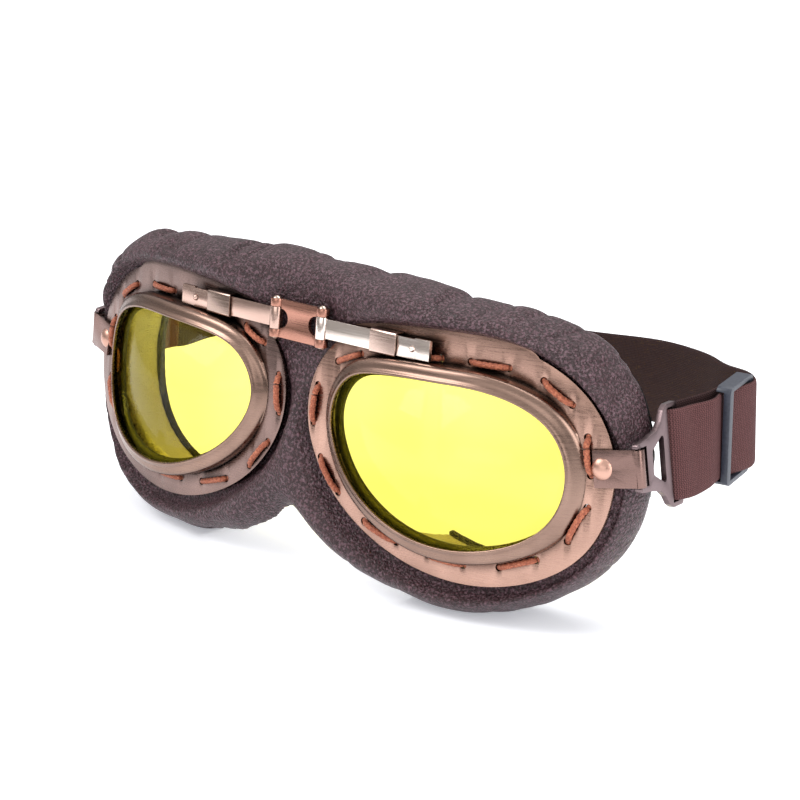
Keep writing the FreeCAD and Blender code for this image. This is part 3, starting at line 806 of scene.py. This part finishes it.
def strap_frames():
    """Functions that place a point beside the right buckle's hinge, and beside the adjuster."""
    hinge = joints["buckle_swing_right"]
    pin = Vector(hinge["pos_m"])
    upright = Vector(hinge["axis"]).normalized()
    leaving = Vector(STRAP_LEAVES).normalized()
    aside = leaving.cross(upright).normalized()

    slide = joints["adjuster_slide"]
    low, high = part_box("strap_adjuster")
    middle = (low + high) / 2
    run = Vector(slide["axis"]).normalized()
    level = run.cross(Vector((0, 0, 1))).normalized()
    rise = level.cross(run).normalized()

    def at_buckle(along, out, up):
        return pin + (leaving * along + aside * out + upright * up) * 0.001

    def at_adjuster(along, out, up):
        return middle + (run * along + level * out + rise * up) * 0.001

    return at_buckle, at_adjuster


def mirrored(point):
    return Vector((-point.x, point.y, point.z))


def strap_stations():
    """Lower and upper edge points along the strap, right to left, and which of them end a stretch of it."""
    at_buckle, at_adjuster = strap_frames()

    def edges(where, steps):
        return [(where(a, n, -STRAP_HALF), where(a, n, STRAP_HALF)) for a, n in steps]

    def free(places):
        return [(place(x, y, z - STRAP_HALF), place(x, y, z + STRAP_HALF)) for x, y, z in places]

    loop = edges(at_adjuster, [(0.5, -2.9), (-5.5, -3.4)])
    loop += edges(at_buckle, [(18.5, -2.8), (15.2, -2.15), (13.1, 0.0), (15.2, 2.15), (18.0, 2.7)])
    loop += edges(at_adjuster, [(-10.2, -0.7), (-5.7, -0.9), (0.0, 0.9), (5.7, 2.5), (9.0, 0.8)])
    left = edges(at_buckle, SEWN_LOOP) + free(STRAP_LEFT[::-1] + STRAP_REAR)
    left = [(mirrored(low), mirrored(high)) for low, high in left][::-1]
    middle = free(STRAP_REAR + [STRAP_BACK])
    cuts = (len(loop) - 1, len(loop) + len(middle) - 1, len(loop + middle + left) - len(SEWN_LOOP))
    return loop + middle + left, cuts


def ribbon(name, lows, highs, start_length):
    """Webbing with soft selvedges between two edge lines. UV is in millimetres, shifted on the back."""
    lows, highs = np.array(lows), np.array(highs)
    across = [0.0, 0.02, 0.06, 0.2, 0.35, 0.5, 0.65, 0.8, 0.94, 0.98, 1.0]
    half = [0.3, 0.8, 1.0, 1.0, 1.0, 1.0, 1.0, 1.0, 1.0, 0.8, 0.3]
    loop = list(zip(across, half)) + [(a, -h) for a, h in zip(across[::-1], half[::-1])]
    middles = (lows + highs) / 2
    steps = np.linalg.norm(np.diff(middles, axis=0), axis=1)
    length = start_length + np.concatenate([[0], np.cumsum(steps)])
    tangent = np.gradient(middles, axis=0)
    rings = []
    for low, high, along in zip(lows, highs, tangent):
        aside = np.cross(along, high - low)
        aside = aside / np.linalg.norm(aside) * STRAP_THICK * 0.0005
        rings.append([Vector(low + (high - low) * a + aside * h) for a, h in loop])
    verts, faces = lofted(rings)
    mesh = smooth_mesh(name, verts, faces)
    layer = mesh.uv_layers.new(name="along_across")
    for corner, uv in zip(mesh.loops, layer.data):
        ring, k = divmod(corner.vertex_index, len(loop))
        shift = BACK_SHIFT * (loop[k][1] < 0)
        uv.uv = (length[ring] * 1000, loop[k][0] * 2 * STRAP_HALF + shift)
    return mesh


def build_strap():
    """The strap in six stretches."""
    stations, cuts = strap_stations()
    last = STRAP_SAMPLES - 1
    lows = open_spline([low for low, high in stations], STRAP_SAMPLES)
    highs = open_spline([high for low, high in stations], STRAP_SAMPLES)
    middles = [(low + high) / 2 for low, high in stations]
    run = np.concatenate([[0], np.cumsum([(b - a).length for a, b in zip(middles, middles[1:])])])
    adjuster, back_mark, sewn = [int(round(run[cut] / run[-1] * last)) for cut in cuts]
    marks = [0, adjuster, adjuster + SIDE_RUN, back_mark, sewn - SIDE_RUN, sewn, last]
    side_right, side_left = [Vector((lows[mark] + highs[mark]) / 2) for mark in (marks[2], marks[4])]
    at_adjuster, at_sewn = middles[cuts[0]], middles[cuts[2]]
    back = place(*STRAP_BACK)
    hinge = {side: Vector(joints["buckle_swing_" + side]["pos_m"]) for side in SIDES}
    near_right = hinge["right"].lerp(at_adjuster, 0.45)
    near_left = hinge["left"].lerp(at_sewn, 0.6)
    pieces = [
        ("strap_loop_right", "ocular_right", "buckle_right", at_adjuster, near_right),
        ("strap_side_right", "arm_right", "ocular_right", side_right, at_adjuster),
        ("strap_rear_right", "front_root", "arm_right", back, side_right),
        ("strap_rear_left", "front_root", "arm_left", back, side_left),
        ("strap_side_left", "arm_left", "ocular_left", side_left, at_sewn),
        ("strap_loop_left", "ocular_left", "buckle_left", at_sewn, near_left),
    ]
    for (name, fixed, moving, start, end), first, final in zip(pieces, marks, marks[1:]):
        mesh = ribbon(name, lows[first : final + 1], highs[first : final + 1], first * 0.0004)
        made = add_object(name, mesh, WEBBING)
        if name == "strap_loop_right":
            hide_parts("elastic_strap")
        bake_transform(made)


# ---------------------------------------------------------------- stage


def area_light(name, where, size, power):
    """A rectangular lamp that looks at the goggles."""
    light = bpy.data.lights.new(name, "AREA")
    light.shape = "RECTANGLE"
    light.size, light.size_y = size
    light.energy = power
    lamp = bpy.data.objects.new(name, light)
    bpy.context.scene.collection.objects.link(lamp)
    lamp.location = where
    lamp.rotation_mode = "QUATERNION"
    lamp.rotation_quaternion = (Vector((0, 0, 0.03)) - Vector(where)).to_track_quat("-Z", "Y")


def build_floor():
    """A pale floor whose near edge runs behind the view's lower left corner."""
    corners = [(-0.42, -0.4, 0), (3, -0.4, 0), (3, 3, 0), (-3, 3, 0), (-3, 0.15, 0)]
    floor = bpy.data.objects.new("floor", smooth_mesh("floor", corners, [(0, 1, 2, 3, 4)]))
    bpy.context.scene.collection.objects.link(floor)
    floor.location.z = cad_box[0].z
    material, _, shader = principled("floor_pale", Base_Color=(0.9, 0.905, 0.92, 1), Roughness=0.6)
    shader.inputs["Emission Color"].default_value = (0.9, 0.93, 1.0, 1)
    shader.inputs["Emission Strength"].default_value = 0.35
    floor.data.materials.append(material)


def build_world():
    """A studio that is dark below and bright above, and plain white where the camera sees it."""
    world = bpy.data.worlds.new("studio")
    bpy.context.scene.world = world
    world.use_nodes = True
    tree = world.node_tree
    background = tree.nodes["Background"]
    direction = node(tree, "ShaderNodeTexCoord").outputs["Generated"]
    height = node(tree, "ShaderNodeSeparateXYZ", {0: direction}).outputs[2]
    level = maths(tree, "ADD", maths(tree, "MULTIPLY", height, 0.5), 0.5)
    lit = ramp(tree, level, (0.3, 0.05), (0.48, 0.28), (0.62, 0.45), (0.8, 0.9))
    seen = node(tree, "ShaderNodeLightPath").outputs["Is Camera Ray"]
    tree.links.new(mixed(tree, seen, lit, (1.0, 1.0, 1.0)), background.inputs["Color"])
    background.inputs["Strength"].default_value = 1.0


def build_camera():
    """The view from a little above, on the wearer's left front."""
    lens = bpy.data.cameras.new("camera")
    lens.sensor_width = 36.0
    lens.lens = 109.4
    camera = bpy.data.objects.new("camera", lens)
    bpy.context.scene.collection.objects.link(camera)
    right = Vector((0.7331, 0.6801, 0.0004))
    up = Vector((-0.1903, 0.2046, 0.9602))
    back = Vector((0.6529, -0.7040, 0.2794))
    turn = Matrix((right, up, back)).transposed()
    camera.matrix_world = Matrix.Translation((0.3934, -0.4270, 0.2027)) @ turn.to_4x4()
    bpy.context.scene.camera = camera


for side in SIDES:
    finish_piece("flange_" + side, "flange", 0.16)
    finish_piece("lens_" + side, "lens", 0.0)
    finish_piece("lens_seal_" + side, "lens_seal", 0.0)
    finish_piece("hinge_pin_" + side, "hinge_pin", 0.06)
    finish_piece("bridge_arm_" + side, "bridge_arm", 0.12)
    finish_piece("box_clip_" + side, "box_clip", 0.1)
    finish_piece("strap_bracket_" + side, "strap_bracket", 0.1)
    finish_piece("bracket_rivet_" + side, "bracket_rivet", 0.1)
    finish_piece("strap_buckle_" + side, "strap_buckle", 0.28)
    build_rim(side)
    build_lacing(side)
finish_piece("bridge_link", "bridge_link", 0.12)
finish_piece("strap_adjuster", "strap_adjuster", 0.35)
build_soft()
build_strap()
build_floor()
area_light("key", (-0.45, -0.55, 0.75), (0.5, 0.5), 4.5)
area_light("side", (0.85, -0.1, 0.35), (0.35, 0.7), 2.6)
area_light("top", (0.1, 0.3, 1.0), (1.0, 0.7), 6.5)
area_light("low_front", (0.25, -0.9, 0.25), (0.8, 0.25), 1.2)
build_world()
build_camera()
bpy.context.scene.view_settings.view_transform = "Standard"
